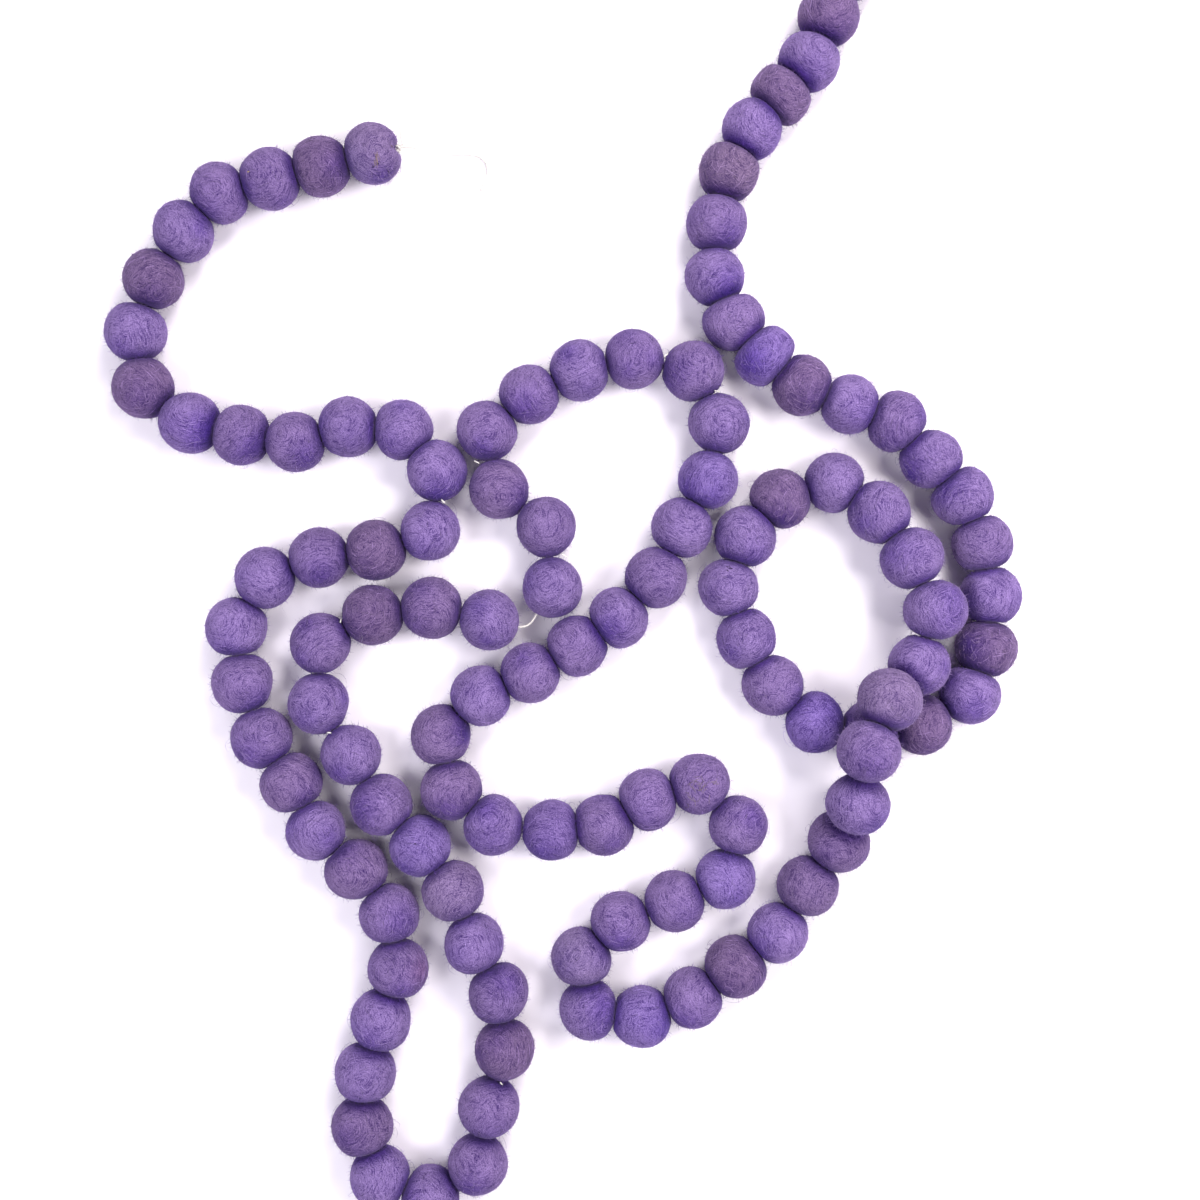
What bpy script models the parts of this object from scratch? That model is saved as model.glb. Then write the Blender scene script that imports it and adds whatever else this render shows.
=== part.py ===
"""A garland of wool felt balls on a cotton string, lying in loose loops on a flat surface.

The strand is a chain of sections of two to four balls, and each section is one solid: its balls are pressed
flat against each other, and a hairline parts its end faces from the next section. Where the string shows,
at its loose end, in the one open gap and at the knot, it is a solid of its own.

The tables are in millimetres in the layout's own plan, X to the right and Y away from the viewer, and lift is
how far a ball is raised off the surface. The model is in metres, +Z is up and the surface is at z = 0.
"""
import math
from collections import namedtuple

import bmesh
import bpy
from mathutils import Vector
from mathutils.geometry import interpolate_bezier

MM = 0.001
UP = Vector((0, 0, 1))

# Driving dimensions, in millimetres
BALL_DIAMETER = 20.3
STRING_DIAMETER = 1.0
PIECE_GAP = 0.3
DIMPLE_DEPTH = 1.2
KNOT_RADIUS = 1.5
STRING_STEP = 2.5
LAYOUT_MIDDLE = (-12.4, 23.7)

# How a ball is divided: sides around the string, and the rings from one contact face to the other
SIDES = 12
BELT_ANGLE = math.radians(77)
FACET_GROWTH = 1.02
SMALLEST_CONTACT = 0.38
TOUCH_REACH = 0.8
DIMPLE_RIM_ANGLE = math.radians(12)
CAP_ANGLE = math.radians(30)
CREASE_ANGLE = math.radians(50)

# The felt's shades of violet: light, middle, dusky and blue
SHADES = {
    "L": (0.28, 0.18, 0.46),
    "M": (0.25, 0.16, 0.40),
    "D": (0.22, 0.14, 0.32),
    "B": (0.20, 0.13, 0.45),
}
STRING_COLOUR = (0.85, 0.84, 0.80)
FELT_ROUGHNESS = 0.95
COTTON_ROUGHNESS = 0.9

# Each section: a letter for the shade of each ball, the first and the last ball as (x, y, lift), how far
# the middle bows to the left of the straight line between them, and its balls' diameter against the usual
Section = namedtuple("Section", "shades first last bow size")

FIRST_STRETCH = (
    Section("MDMM", (-76.0, 148.7, 0), (-127.0, 135.7, 0), -0.4, 0.99),
    Section("LDL", (-139.0, 122.7, 0), (-155.0, 89.3, 0), -2.1, 1.00),
    Section("DL", (-152.3, 70.7, 0), (-136.7, 59.0, 0), 0, 1.00),
    Section("MML", (-119.7, 55.0, 0), (-84.0, 57.7, 0), -3.7, 0.99),
    Section("LL", (-65.7, 56.7, 0), (-54.2, 43.2, 0), 0, 1.00),
    Section("LDM", (-56.7, 23.0, 0), (-93.7, 14.3, 0), 2.1, 0.99),
    Section("LLM", (-111.7, 7.3, 0), (-119.3, -27.7, 0), -5.9, 1.00),
    Section("MML", (-113.0, -46.0, 0), (-94.7, -77.0, 0), 1.1, 1.00),
    Section("MMML", (-81.2, -89.9, 0), (-73.0, -140.0, 0), 9.5, 1.00),
    Section("LML", (-78.3, -157.7, 0), (-73.3, -192.0, 0), -3.4, 1.00),
    Section("LMM", (-56.7, -199.0, 0), (-37.0, -169.0, 0), -7.3, 1.00),
    Section("DML", (-31.8, -149.7, 0), (-42.0, -114.5, 0), -3.3, 1.00),
    Section("MLM", (-49.1, -97.0, 0), (-73.0, -68.3, 0), -1.2, 1.00),
    Section("LLM", (-83.0, -51.7, 0), (-93.3, -14.3, 0), 6.0, 0.99),
    Section("DML", (-75.7, -4.9, 0), (-37.0, -6.7, 0), 3.3, 1.00),
)

SECOND_STRETCH = (
    Section("LMM", (-16.0, 4.0, 0), (-33.9, 37.0, 0), -8.1, 1.00),
    Section("MMLM", (-37.6, 56.4, 0), (11.2, 80.3, 0), 5.2, 1.00),
    Section("MLL", (31.3, 76.3, 0), (36.0, 40.0, 0), 6.0, 1.00),
    Section("LML", (27.5, 24.0, 0), (6.0, -6.0, 0), 2.5, 1.00),
    Section("MML", (-7.7, -15.3, 0), (-39.7, -32.0, 0), 0.8, 1.00),
    Section("MML", (-53.0, -45.3, 0), (-35.7, -75.0, 0), -6.1, 1.00),
    Section("MMM", (-16.0, -76.8, 0), (16.0, -66.5, 0), -3.6, 1.00),
    Section("MM", (33.0, -61.3, 0), (46.0, -75.0, 0), 0, 0.99),
    Section("LM", (41.7, -92.7, 0), (24.7, -100.4, 0), 0, 1.00),
    Section("MLL", (6.9, -107.2, 0), (-3.6, -136.5, 0), -8.2, 0.99),
    Section("LM", (13.9, -138.9, 0), (30.8, -132.6, 0), 0, 1.00),
    Section("DL", (45.3, -122.3, 0), (59.3, -111.0, 0), 0, 1.00),
    Section("MM", (69.3, -95.3, 0), (79.3, -80.0, 2.5), 0, 1.01),
    Section("LM", (83.6, -66.2, 13.5), (85.9, -48.2, 20.3), 0, 1.015),
    Section("ML", (93.3, -32.1, 17.5), (104.9, -21.3, 7), 0, 1.015),
    Section("LLL", (109.9, -3.3, 8), (92.4, 29.1, 2.5), -1.9, 1.03),
    Section("LD", (78.1, 39.0, 0), (60.0, 33.7, 0), 0, 1.00),
    Section("LLL", (48.5, 21.3, 0), (48.7, -13.0, 0), -5.8, 1.00),
    Section("MBM", (57.6, -28.4, 0), (90.2, -43.7, 0), -5.3, 1.00),
    Section("DL", (107.2, -41.4, 0), (123.4, -31.3, 0), 0, 1.00),
    Section("DLML", (128.7, -15.7, 0), (120.7, 34.7, 0), -4.7, 1.00),
    Section("LML", (110.3, 47.0, 0), (83.0, 65.3, 0), -3.8, 1.00),
    Section("DLM", (67.3, 71.6, 0), (44.3, 93.0, 0), 1.2, 1.00),
    Section("LMD", (38.3, 107.7, 0), (43.0, 143.0, 0), 1.8, 1.00),
    Section("LDL", (50.7, 157.0, 0), (69.7, 179.7, 0), -0.1, 1.00),
    Section("DMLM", (76.3, 194.7, 0), (97.7, 244.3, 0), -1.4, 1.00),
)

# The loose end's route as (x, y, height), from the first ball down to the surface and along it
LOOSE_END = (
    (-66.4, 151.1, 10.0),
    (-63.5, 151.5, 8.7),
    (-60.0, 151.4, 5.6),
    (-56.0, 151.2, 2.2),
    (-51.0, 151.3, 0.8),
    (-46.5, 151.4, 0.6),
    (-42.0, 151.0, 0.6),
    (-39.0, 149.0, 0.6),
    (-38.0, 145.5, 0.6),
    (-39.0, 142.0, 0.6),
    (-40.5, 139.0, 0.6),
)

# centre in millimetres, radius of the ball and of its facets' corners, and the way that the strand runs there
Ball = namedtuple("Ball", "number shade centre radius corner_radius along")

# A contact is where a ball meets its neighbour: the unit vector to it, how far off the plane between them
# lies, and the radius of the flat there. A free end has no plane.
Contact = namedtuple("Contact", "direction distance radius")


def clear_scene():
    for thing in list(bpy.data.objects):
        bpy.data.objects.remove(thing, do_unlink=True)


def make_material(name, colour, roughness):
    material = bpy.data.materials.new(name)
    material.use_nodes = True
    shader = material.node_tree.nodes["Principled BSDF"]
    shader.inputs["Base Color"].default_value = (*colour, 1)
    shader.inputs["Roughness"].default_value = roughness
    shader.inputs["Metallic"].default_value = 0
    return material


def resting_height(corner_radius):
    """How high a ball's centre is when its lowest facet lies on the surface."""
    return corner_radius * math.sin(BELT_ANGLE) * math.cos(math.pi / SIDES)


def arc_places(section):
    """The section's places on its arc, evenly spaced, each with the arc's own direction there."""
    first = Vector(section.first)
    chord = Vector(section.last) - first
    flat_chord = Vector((chord.x, chord.y, 0))
    left = UP.cross(flat_chord).normalized()
    half_turn = 2 * math.atan(2 * section.bow / flat_chord.length)
    count = len(section.shades)
    places = []
    for index in range(count):
        share = index / (count - 1)
        angle = half_turn * (2 * share - 1)
        if abs(half_turn) > 0.001:
            along = (1 + math.sin(angle) / math.sin(half_turn)) / 2
            aside = section.bow * (math.cos(angle) - math.cos(half_turn)) / (1 - math.cos(half_turn))
        else:
            along = share
            aside = 0
        place = first + flat_chord * along + left * aside + UP * chord.z * share
        direction = flat_chord * math.cos(angle) - left * flat_chord.length * math.sin(angle) + UP * chord.z
        places.append((place, direction.normalized()))
    return places


def section_balls(section, first_number):
    radius = BALL_DIAMETER / 2 * section.size
    corner_radius = radius * FACET_GROWTH
    balls = []
    for index, (place, along) in enumerate(arc_places(section)):
        centre = place + UP * resting_height(corner_radius)
        balls.append(Ball(first_number + index, section.shades[index], centre, radius, corner_radius, along))
    return balls


def contact_between(ball, other, gap):
    """The contact of a ball with its neighbour, or None where bare string parts them."""
    towards = other.centre - ball.centre
    distance = towards.length
    if distance > ball.radius + other.radius + TOUCH_REACH:
        return None
    plane = (distance ** 2 + ball.corner_radius ** 2 - other.corner_radius ** 2) / (2 * distance)
    smallest = SMALLEST_CONTACT * (ball.radius + other.radius) / 2
    radius = math.sqrt(max(ball.corner_radius ** 2 - plane ** 2, smallest ** 2))
    return Contact(towards.normalized(), plane - gap / 2, radius)


def add_ring(mesh, centre, axis, radius):
    """A ring of corners square to the axis, set so that two of them flank its lowest point."""
    upward = (UP - axis * UP.dot(axis)).normalized()
    sideways = axis.cross(upward)
    corners = []
    for index in range(SIDES):
        angle = 2 * math.pi * (index + 0.5) / SIDES
        corner = centre + (upward * math.cos(angle) + sideways * math.sin(angle)) * radius
        corner.z = max(corner.z, 0)
        corners.append(mesh.verts.new(corner * MM))
    return corners


def join_rings(mesh, ring, next_ring):
    for index in range(SIDES):
        following = (index + 1) % SIDES
        mesh.faces.new((ring[index], ring[following], next_ring[following], next_ring[index]))


def belt_rings(mesh, ball, back, front):
    """The four rings of a ball between its two contacts, of which the middle two hold its resting facet."""
    back_edge = math.acos(min(back.distance / ball.corner_radius, 1))
    front_edge = math.pi - math.acos(min(front.distance / ball.corner_radius, 1))
    angles = (
        (back_edge + BELT_ANGLE) / 2,
        BELT_ANGLE,
        math.pi - BELT_ANGLE,
        (front_edge + math.pi - BELT_ANGLE) / 2,
    )
    rings = []
    for angle in angles:
        share = angle / math.pi
        axis = (front.direction * share - back.direction * (1 - share)).normalized()
        centre = ball.centre - axis * ball.corner_radius * math.cos(angle)
        rings.append(add_ring(mesh, centre, axis, ball.corner_radius * math.sin(angle)))
    return rings


def free_contact(ball, direction):
    """The edge of a rounded free end, from which the end goes on to its dimple."""
    reach = ball.corner_radius
    return Contact(direction, reach * math.cos(CAP_ANGLE), reach * math.sin(CAP_ANGLE))


def dimple_rings(mesh, ball, direction, axis):
    """The rim of the dimple that the string draws into a free end, and the dimple's flat bottom."""
    rim = ball.centre + direction * ball.corner_radius * math.cos(DIMPLE_RIM_ANGLE)
    bottom = ball.centre + direction * (ball.corner_radius - DIMPLE_DEPTH)
    return [
        add_ring(mesh, rim, axis, ball.corner_radius * math.sin(DIMPLE_RIM_ANGLE)),
        add_ring(mesh, bottom, axis, STRING_DIAMETER),
    ]


def section_rings(mesh, balls, before, after):
    """Every ring of a section, from the face at its start to the face at its end."""
    first = balls[0]
    last = balls[-1]
    start = contact_between(first, before, PIECE_GAP) if before else None
    end = contact_between(last, after, PIECE_GAP) if after else None
    rings = []
    back = start or free_contact(first, -first.along)
    if not start:
        rings += reversed(dimple_rings(mesh, first, -first.along, first.along))
    rings.append(add_ring(mesh, first.centre + back.direction * back.distance, -back.direction, back.radius))
    for ball, following in zip(balls, balls[1:]):
        front = contact_between(ball, following, 0)
        rings += belt_rings(mesh, ball, back, front)
        rings.append(add_ring(mesh, ball.centre + front.direction * front.distance, front.direction, front.radius))
        back = contact_between(following, ball, 0)
    front = end or free_contact(last, last.along)
    rings += belt_rings(mesh, last, back, front)
    rings.append(add_ring(mesh, last.centre + front.direction * front.distance, front.direction, front.radius))
    if not end:
        rings += dimple_rings(mesh, last, last.along, last.along)
    return rings


def paint_balls(mesh, balls, shades):
    """Gives each face the material of the ball that it is nearest to."""
    for face in mesh.faces:
        middle = face.calc_center_median()
        nearest = min(balls, key=lambda ball: (middle - ball.centre * MM).length)
        face.material_index = shades.index(nearest.shade)


def make_section(balls, before, after):
    """One closed solid: the rings of its balls joined in turn, with a flat face at each end."""
    name = f"balls_{balls[0].number:03d}_{balls[-1].number:03d}"
    shades = sorted({ball.shade for ball in balls})
    mesh = bmesh.new()
    rings = section_rings(mesh, balls, before, after)
    mesh.faces.new(reversed(rings[0]))
    mesh.faces.new(rings[-1])
    for ring, next_ring in zip(rings, rings[1:]):
        join_rings(mesh, ring, next_ring)
    bmesh.ops.recalc_face_normals(mesh, faces=mesh.faces)
    paint_balls(mesh, balls, shades)
    data = bpy.data.meshes.new(name)
    mesh.to_mesh(data)
    mesh.free()
    data.shade_smooth()
    data.set_sharp_from_angle(angle=CREASE_ANGLE)
    for shade in shades:
        data.materials.append(make_material(f"{name}_{shade}", SHADES[shade], FELT_ROUGHNESS))
    section = bpy.data.objects.new(name, data)
    bpy.context.collection.objects.link(section)
    return section


def smooth_route(places):
    """Points about a step apart on the smooth curve through the places."""
    slopes = [after - before for before, after in zip(places, places[2:])]
    slopes = [places[1] - places[0]] + [slope / 2 for slope in slopes] + [places[-1] - places[-2]]
    points = [places[0]]
    for index in range(len(places) - 1):
        start = places[index]
        end = places[index + 1]
        steps = max(1, round((end - start).length / STRING_STEP))
        start_handle = start + slopes[index] / 3
        end_handle = end - slopes[index + 1] / 3
        points += interpolate_bezier(start, start_handle, end_handle, end, steps + 1)[1:]
    return points


def make_string(name, points):
    curve = bpy.data.curves.new(name, "CURVE")
    curve.dimensions = "3D"
    curve.bevel_depth = STRING_DIAMETER / 2 * MM
    curve.bevel_resolution = 2
    curve.use_fill_caps = True
    spline = curve.splines.new("POLY")
    spline.points.add(len(points) - 1)
    for spline_point, point in zip(spline.points, points):
        spline_point.co = (*(point * MM), 1)
    curve.materials.append(make_material(f"{name}_cotton", STRING_COLOUR, COTTON_ROUGHNESS))
    string = bpy.data.objects.new(name, curve)
    bpy.context.collection.objects.link(string)
    return string


def dimple_place(ball, direction):
    """Where a string's end face sits in the dimple of a free end."""
    return ball.centre + direction * (ball.corner_radius - DIMPLE_DEPTH + PIECE_GAP)


def make_bare_string(ball, following):
    """The stretch of string that shows where two balls are not pushed together."""
    start = dimple_place(ball, ball.along)
    end = dimple_place(following, -following.along)
    lead = (end - start).length / 3
    places = [start, start + ball.along * lead, end - following.along * lead, end]
    return make_string("string_in_gap", smooth_route(places))


def make_loose_end(ball):
    start = dimple_place(ball, -ball.along)
    places = [start] + [Vector(place) for place in LOOSE_END]
    return make_string("string_loose_end", smooth_route(places))


def make_knot(ball):
    """The knot that holds the last ball, a small lump in its dimple."""
    name = "string_knot"
    centre = dimple_place(ball, ball.along) + ball.along * KNOT_RADIUS
    mesh = bmesh.new()
    bmesh.ops.create_icosphere(mesh, subdivisions=2, radius=KNOT_RADIUS * MM)
    data = bpy.data.meshes.new(name)
    mesh.to_mesh(data)
    mesh.free()
    data.shade_smooth()
    data.materials.append(make_material(f"{name}_cotton", STRING_COLOUR, COTTON_ROUGHNESS))
    knot = bpy.data.objects.new(name, data)
    knot.location = centre * MM
    bpy.context.collection.objects.link(knot)
    return knot


def make_garland():
    garland = bpy.data.objects.new("garland", None)
    garland.location = (-LAYOUT_MIDDLE[0] * MM, -LAYOUT_MIDDLE[1] * MM, 0)
    bpy.context.collection.objects.link(garland)
    runs = []
    number = 1
    for section in FIRST_STRETCH + SECOND_STRETCH:
        runs.append(section_balls(section, number))
        number += len(section.shades)
    pieces = []
    for index, balls in enumerate(runs):
        before = runs[index - 1][-1] if index > 0 else None
        after = runs[index + 1][0] if index + 1 < len(runs) else None
        pieces.append(make_section(balls, before, after))
    gap = len(FIRST_STRETCH)
    pieces.append(make_loose_end(runs[0][0]))
    pieces.append(make_bare_string(runs[gap - 1][-1], runs[gap][0]))
    pieces.append(make_knot(runs[-1][-1]))
    for piece in pieces:
        piece.parent = garland


def main():
    clear_scene()
    make_garland()


main()
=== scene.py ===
import math
from collections import namedtuple

import bmesh
import bpy
import numpy as np
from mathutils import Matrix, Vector
from mathutils.geometry import interpolate_bezier


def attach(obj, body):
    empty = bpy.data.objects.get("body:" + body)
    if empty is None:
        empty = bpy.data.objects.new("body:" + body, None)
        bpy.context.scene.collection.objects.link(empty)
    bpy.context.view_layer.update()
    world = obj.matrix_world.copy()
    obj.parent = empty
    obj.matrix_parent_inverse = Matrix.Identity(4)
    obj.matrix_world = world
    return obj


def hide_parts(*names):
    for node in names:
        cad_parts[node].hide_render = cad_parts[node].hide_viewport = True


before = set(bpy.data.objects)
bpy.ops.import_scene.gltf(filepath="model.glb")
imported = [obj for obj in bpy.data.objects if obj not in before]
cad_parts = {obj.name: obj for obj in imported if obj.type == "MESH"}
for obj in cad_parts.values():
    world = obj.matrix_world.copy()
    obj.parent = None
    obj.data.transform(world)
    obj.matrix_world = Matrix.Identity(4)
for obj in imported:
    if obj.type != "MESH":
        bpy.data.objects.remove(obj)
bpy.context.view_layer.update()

MM = 0.001
UP = Vector((0, 0, 1))

# The garland's sizes, in millimetres
BALL_DIAMETER = 20.3
STRING_DIAMETER = 1.0
PIECE_GAP = 0.3
DIMPLE_DEPTH = 1.2
KNOT_RADIUS = 1.5
STRING_STEP = 2.5
LAYOUT_MIDDLE = (-12.4, 23.7)

# How the solids' balls are divided, which gives the height at which a ball rests on its lowest facet
SIDES = 12
BELT_ANGLE = math.radians(77)
FACET_GROWTH = 1.02
RESTING_SHARE = FACET_GROWTH * math.sin(BELT_ANGLE) * math.cos(math.pi / SIDES)

# The camera looks straight down, about as far off as on a copy stand. Its frame is this wide at the height of
# the balls' middles, and it sees nothing that is nearer than the closest view, in metres.
CAMERA_DISTANCE = 500
FRAME_WIDTH = 400
FOCUS_HEIGHT = 10
SENSOR_WIDTH = 36
CLOSEST_VIEW = 0.01

# The lamps are large squares around the garland: where each is and what it is turned to, in metres in the
# part's frame, its power in watts and its colour
Softbox = namedtuple("Softbox", "name place aim power colour")
SOFTBOXES = (
    Softbox("softbox_left", (-0.40, -0.12, 0.55), (-0.10, 0, 0), 2.8, (0.95, 0.95, 1.0)),
    Softbox("softbox_right", (0.43, -0.02, 0.50), (0.10, 0, 0), 3.7, (1.0, 0.975, 0.955)),
    Softbox("softbox_top", (0.20, 0.46, 0.55), (0, 0.10, 0), 4.5, (1.0, 0.98, 0.965)),
    Softbox("softbox_bottom", (0.02, -0.45, 0.55), (0, -0.10, 0), 1.3, (0.97, 0.97, 1.0)),
)
SOFTBOX_SIZE = 0.30
ROOM_COLOUR = (0.90, 0.89, 1.0, 1)
ROOM_STRENGTH = 0.29
FLOOR_COLOUR = (0.915, 0.865, 0.920, 1)
FLOOR_HALF = 3.0

# Each section: a letter for the shade of each ball, the first and the last ball as (x, y, lift), how far
# the middle bows to the left of the straight line between them, and its balls' diameter against the usual
Section = namedtuple("Section", "shades first last bow size")

FIRST_STRETCH = (
    Section("MDMM", (-76.0, 148.7, 0), (-127.0, 135.7, 0), -0.4, 0.99),
    Section("LDL", (-139.0, 122.7, 0), (-155.0, 89.3, 0), -2.1, 1.00),
    Section("DL", (-152.3, 70.7, 0), (-136.7, 59.0, 0), 0, 1.00),
    Section("MML", (-119.7, 55.0, 0), (-84.0, 57.7, 0), -3.7, 0.99),
    Section("LL", (-65.7, 56.7, 0), (-54.2, 43.2, 0), 0, 1.00),
    Section("LDM", (-56.7, 23.0, 0), (-93.7, 14.3, 0), 2.1, 0.99),
    Section("LLM", (-111.7, 7.3, 0), (-119.3, -27.7, 0), -5.9, 1.00),
    Section("MML", (-113.0, -46.0, 0), (-94.7, -77.0, 0), 1.1, 1.00),
    Section("MMML", (-81.2, -89.9, 0), (-73.0, -140.0, 0), 9.5, 1.00),
    Section("LML", (-78.3, -157.7, 0), (-73.3, -192.0, 0), -3.4, 1.00),
    Section("LMM", (-56.7, -199.0, 0), (-37.0, -169.0, 0), -7.3, 1.00),
    Section("DML", (-31.8, -149.7, 0), (-42.0, -114.5, 0), -3.3, 1.00),
    Section("MLM", (-49.1, -97.0, 0), (-73.0, -68.3, 0), -1.2, 1.00),
    Section("LLM", (-83.0, -51.7, 0), (-93.3, -14.3, 0), 6.0, 0.99),
    Section("DML", (-75.7, -4.9, 0), (-37.0, -6.7, 0), 3.3, 1.00),
)

SECOND_STRETCH = (
    Section("LMM", (-16.0, 4.0, 0), (-33.9, 37.0, 0), -8.1, 1.00),
    Section("MMLM", (-37.6, 56.4, 0), (11.2, 80.3, 0), 5.2, 1.00),
    Section("MLL", (31.3, 76.3, 0), (36.0, 40.0, 0), 6.0, 1.00),
    Section("LML", (27.5, 24.0, 0), (6.0, -6.0, 0), 2.5, 1.00),
    Section("MML", (-7.7, -15.3, 0), (-39.7, -32.0, 0), 0.8, 1.00),
    Section("MML", (-53.0, -45.3, 0), (-35.7, -75.0, 0), -6.1, 1.00),
    Section("MMM", (-16.0, -76.8, 0), (16.0, -66.5, 0), -3.6, 1.00),
    Section("MM", (33.0, -61.3, 0), (46.0, -75.0, 0), 0, 0.99),
    Section("LM", (41.7, -92.7, 0), (24.7, -100.4, 0), 0, 1.00),
    Section("MLL", (6.9, -107.2, 0), (-3.6, -136.5, 0), -8.2, 0.99),
    Section("LM", (13.9, -138.9, 0), (30.8, -132.6, 0), 0, 1.00),
    Section("DL", (45.3, -122.3, 0), (59.3, -111.0, 0), 0, 1.00),
    Section("MM", (69.3, -95.3, 0), (79.3, -80.0, 2.5), 0, 1.01),
    Section("LM", (83.6, -66.2, 13.5), (85.9, -48.2, 20.3), 0, 1.015),
    Section("ML", (93.3, -32.1, 17.5), (104.9, -21.3, 7), 0, 1.015),
    Section("LLL", (109.9, -3.3, 8), (92.4, 29.1, 2.5), -1.9, 1.03),
    Section("LD", (78.1, 39.0, 0), (60.0, 33.7, 0), 0, 1.00),
    Section("LLL", (48.5, 21.3, 0), (48.7, -13.0, 0), -5.8, 1.00),
    Section("MBM", (57.6, -28.4, 0), (90.2, -43.7, 0), -5.3, 1.00),
    Section("DL", (107.2, -41.4, 0), (123.4, -31.3, 0), 0, 1.00),
    Section("DLML", (128.7, -15.7, 0), (120.7, 34.7, 0), -4.7, 1.00),
    Section("LML", (110.3, 47.0, 0), (83.0, 65.3, 0), -3.8, 1.00),
    Section("DLM", (67.3, 71.6, 0), (44.3, 93.0, 0), 1.2, 1.00),
    Section("LMD", (38.3, 107.7, 0), (43.0, 143.0, 0), 1.8, 1.00),
    Section("LDL", (50.7, 157.0, 0), (69.7, 179.7, 0), -0.1, 1.00),
    Section("DMLM", (76.3, 194.7, 0), (97.7, 244.3, 0), -1.4, 1.00),
)

# The loose end's route as (x, y, height), from the first ball down to the surface and along it
LOOSE_END = (
    (-66.4, 151.1, 10.0),
    (-63.5, 151.5, 8.7),
    (-60.0, 151.4, 5.6),
    (-56.0, 151.2, 2.2),
    (-51.0, 151.3, 0.8),
    (-46.5, 151.4, 0.6),
    (-42.0, 151.0, 0.6),
    (-39.0, 149.0, 0.6),
    (-38.0, 145.5, 0.6),
    (-39.0, 142.0, 0.6),
    (-40.5, 139.0, 0.6),
)

# The felt's shades: light, middle, dusky and deep blue violet, as linear colours
SHADES = {
    "L": (0.154, 0.094, 0.256),
    "M": (0.143, 0.086, 0.230),
    "D": (0.114, 0.066, 0.162),
    "B": (0.134, 0.078, 0.274),
}

# How far the deepest and the palest wool of a ball is off its shade, in red, green and blue
DEEP_FIBRE = (0.16, 0.08, 0.35, 1)
PALE_FIBRE = (2.05, 2.30, 1.80, 1)

# The felt's pattern on a ball of radius 1. Its wool lies in two lays, each with how close its fibres come
# across and how it is turned, and the second shows in patches. A lay has thin pale lines and broad bands,
# and fine grain and slow mottling lie over both.
FIRST_LAY = (26.0, (0, 0, 0))
SECOND_LAY = (24.0, (1.45, 0.5, 0.3))
ALONG_LAY = 2.6
LINE_WIDTH = 0.060
LINE_WEIGHT = 0.55
BAND_RANGE = (0.37, 0.63)
BAND_WEIGHT = 0.45
PATCH_SCALE = 2.4
PATCH_RANGE = (0.52, 0.60)
WARP_SCALE = 2.2
WARP_REACH = 0.25
GRAIN_SCALE = 36.0
GRAIN_RANGE = (0.37, 0.63)
SLOW_RANGE = (0.25, 0.75)
FIBRE_WEIGHT = 0.55
GRAIN_WEIGHT = 0.58
SLOW_WEIGHT = 0.20
PALENESS_DROP = 0.17

# How the pattern is moved from ball to ball: each ball's seed is its number times the step
SEED_STEP = 1.7
SEED_SHIFT = (7.3, 3.9, 5.1)

# The cotton's darkest and palest colours, and how fine its grain is
COTTON_SHADE = (0.54, 0.51, 0.47, 1)
COTTON_LIGHT = (0.74, 0.71, 0.67, 1)
COTTON_GRAIN = 1800.0

# Balls whose wool leans off their shade, and how far each way in red, green and blue
BLUISH = (38, 55, 65, 70, 75, 106)
DUSKY = (22, 24, 29, 44, 48, 62, 63, 79, 80)
GREYISH = (73, 83, 37, 1, 110)
LEANINGS = ((BLUISH, (0.94, 0.93, 1.06)), (DUSKY, (0.92, 0.91, 0.86)), (GREYISH, (1.05, 1.10, 0.94)))
SHADE_SPREAD = 0.05

# How a ball is made: steps along the edge of the cube that it is blown from, what its number is added to for
# the seed of its draws, how far it is off round and lumpy as a share of its radius, how many waves its lumps
# are made of and how close those come, and how far its main pole leans off upright
BALL_STEPS = 16
FIRST_SEED = 1000
OVAL_SHARE = 0.030
LUMP_SHARE = 0.018
LUMPS = 7
LUMP_PITCH = 2.2
POLE_LEAN = 0.38

# How balls press each other: the most that a pressed face's edge is rounded and how the rounding grows with
# the press, the least that touching balls are pressed and how wide they are drawn to each other for it, how
# much the face bows and how far from its middle, the space left between faces, and how near balls count
PRESS_ROUNDING = 1.0
ROUNDING_GROWTH = 1.2
SMALLEST_PRESS = 0.05
LEAST_PRESS = 0.45
PRESS_SPREAD = 0.45
CONTACT_BOW = 0.03
CONTACT_SPREAD = 8.0
BOW_ROUND = 3
PRESSED_GAP = 0.06
TOUCH_REACH = 2.0

# The painted shade in a crease, which darkens the wool and its hairs next to a pressed face: how far it
# reaches from the face, and how far it changes in red, green and blue
CREASE_SHADE_WIDTH = 2.1
CREASE_SHADE_CHANGE = (0.22, 0.12, 0.48)

# The notch where the string enters a free end: how wide and how high it is in radians, and how deep
DIMPLE_ANGLE = 0.20
NOTCH_ANGLE = 0.62
NOTCH_DEPTH = 2.6

# The string's twist: how far one turn of a ply runs, the sides round it, the space between its rings, its
# plies, how deep they part, how full it is, and how far its ends close
PLY_TURN = 3.4
STRING_SIDES = 12
STRING_SPACING = 0.25
PLIES = 3
PLY_DEPTH = 0.24
STRING_FULLNESS = 1.05
END_CLOSING = 0.5

# The hairs on each piece of string: how many stand off each of its strands, how long they are, and the seed
# of their draws. All are this thick, and rooted this far out as a share of the string's diameter.
Hairs = namedtuple("Hairs", "count lengths seed")
LOOSE_END_HAIRS = Hairs(260, (0.3, 1.3), 11)
FIRST_KNOT_HAIRS = Hairs(60, (0.5, 2.6), 12)
BARE_STRING_HAIRS = Hairs(40, (0.2, 0.8), 13)
LAST_KNOT_HAIRS = Hairs(30, (0.3, 1.0), 14)
GLIMPSE_HAIRS = Hairs(8, (0.3, 0.8), 15)
COTTON_HAIR = 0.05
COTTON_ROOT = 0.35

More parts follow.
